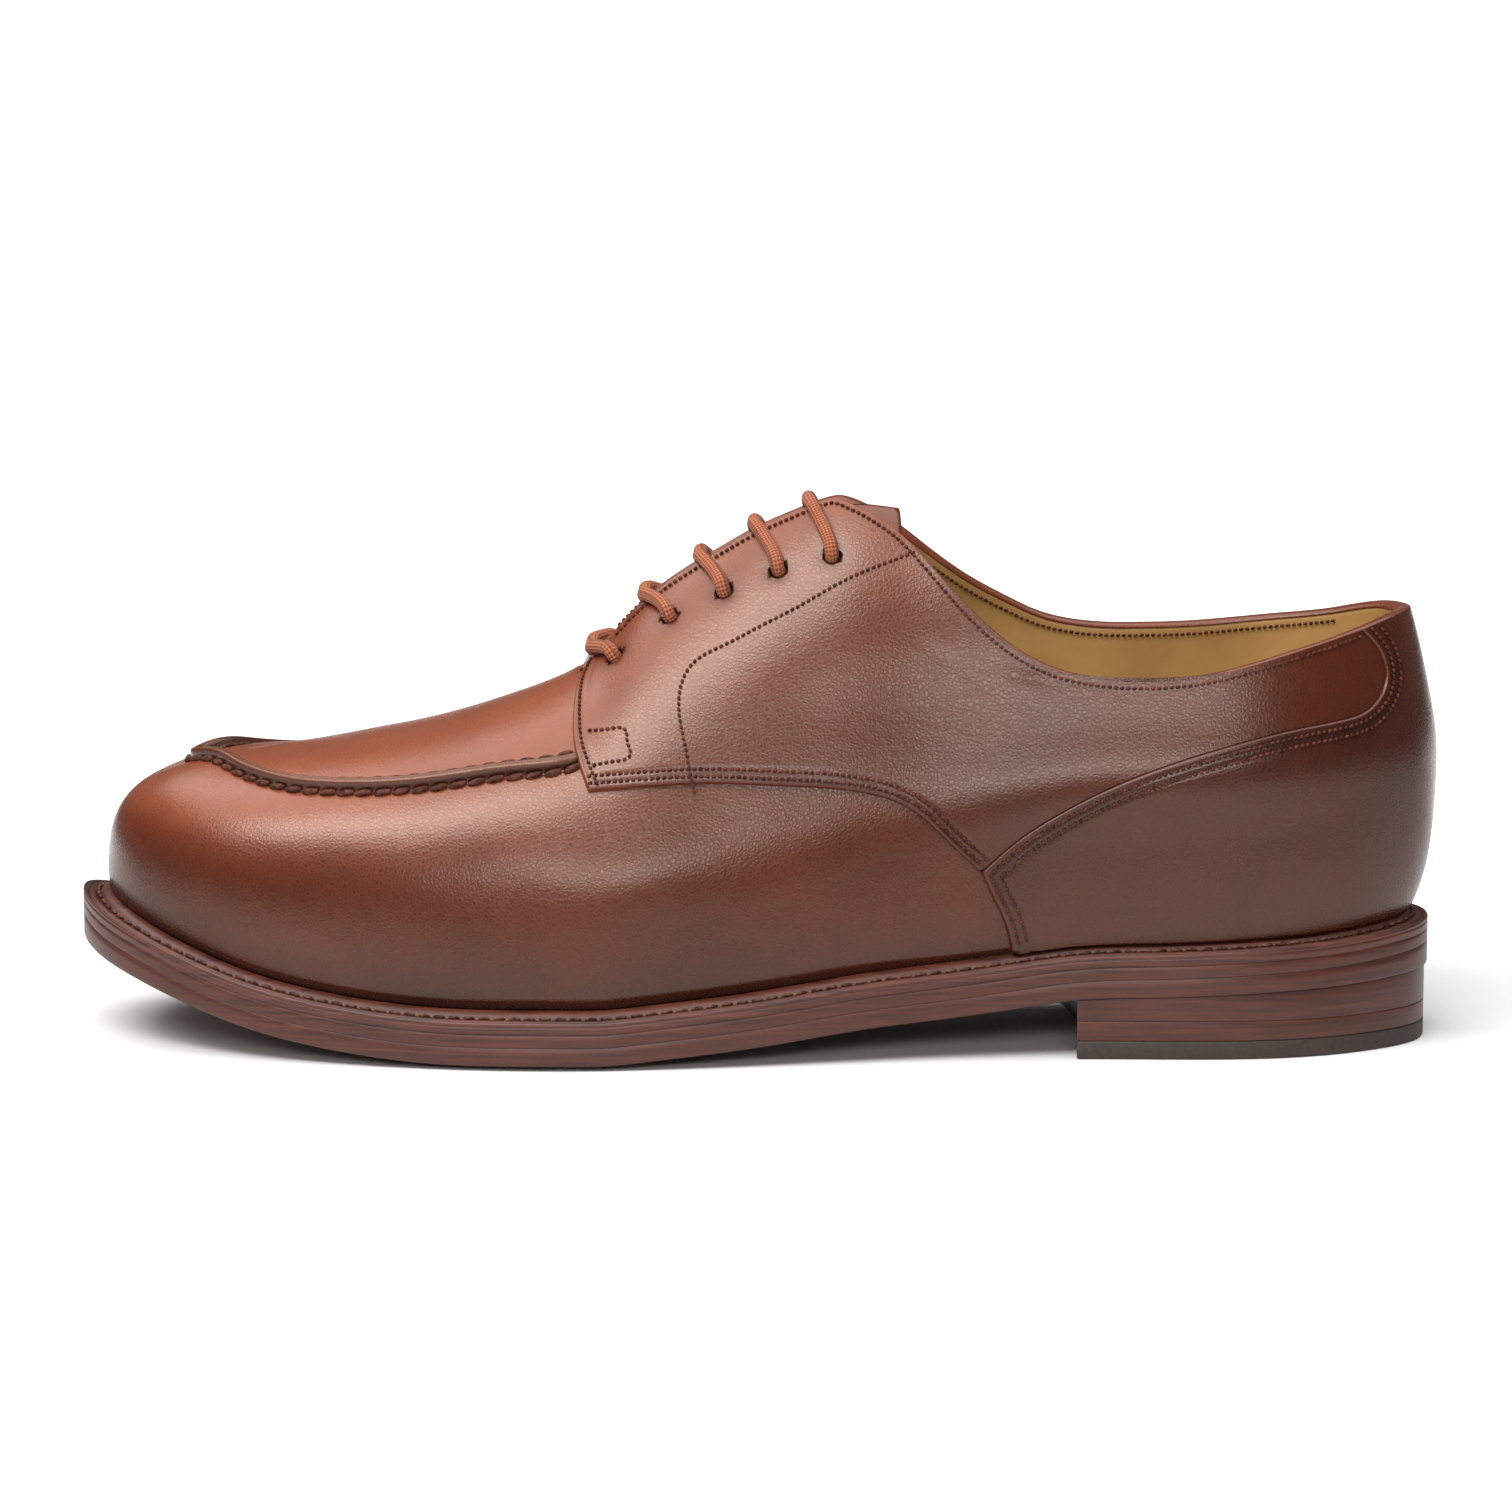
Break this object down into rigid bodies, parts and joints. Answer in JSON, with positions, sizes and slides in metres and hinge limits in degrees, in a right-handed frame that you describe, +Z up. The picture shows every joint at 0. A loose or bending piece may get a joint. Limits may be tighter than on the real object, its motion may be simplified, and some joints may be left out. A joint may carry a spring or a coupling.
{
  "type": "apron toe derby shoe",
  "caption": "Left apron-toe derby shoe in brown calf, laced with straight bars, on a welted leather sole with a stacked heel.",
  "frame": {"origin": "on the ground under the middle of the whole shoe", "axes": "+X from the toe to the heel, +Y from the outer side of the foot to the inner side, +Z up"},
  "size_m": [0.303, 0.1066, 0.1217],
  "materials": {
    "upper_calf": "semi-gloss polished chestnut calf",
    "quarter_calf": "semi-gloss polished chestnut calf, a little darker",
    "sole_leather": "dark brown waxed edge",
    "welt_leather": "dark brown waxed leather",
    "insole_leather": "matt ochre leather",
    "heel_rubber": "matt dark grey-brown rubber",
    "lace_cord": "waxed braided cord"
  },
  "bodies": {
    "root": {"outsole": "sole_leather", "midsole": "sole_leather", "welt": "welt_leather", "insole": "insole_leather", "heel_lift_1": "sole_leather", "heel_lift_2": "sole_leather", "top_piece": "heel_rubber", "upper": "upper_calf", "quarter_lateral": "quarter_calf", "quarter_medial": "quarter_calf", "heel_counter": "quarter_calf", "apron_seam": "quarter_calf", "tongue": "upper_calf", "laces": "lace_cord"}
  },
  "joints": []
}
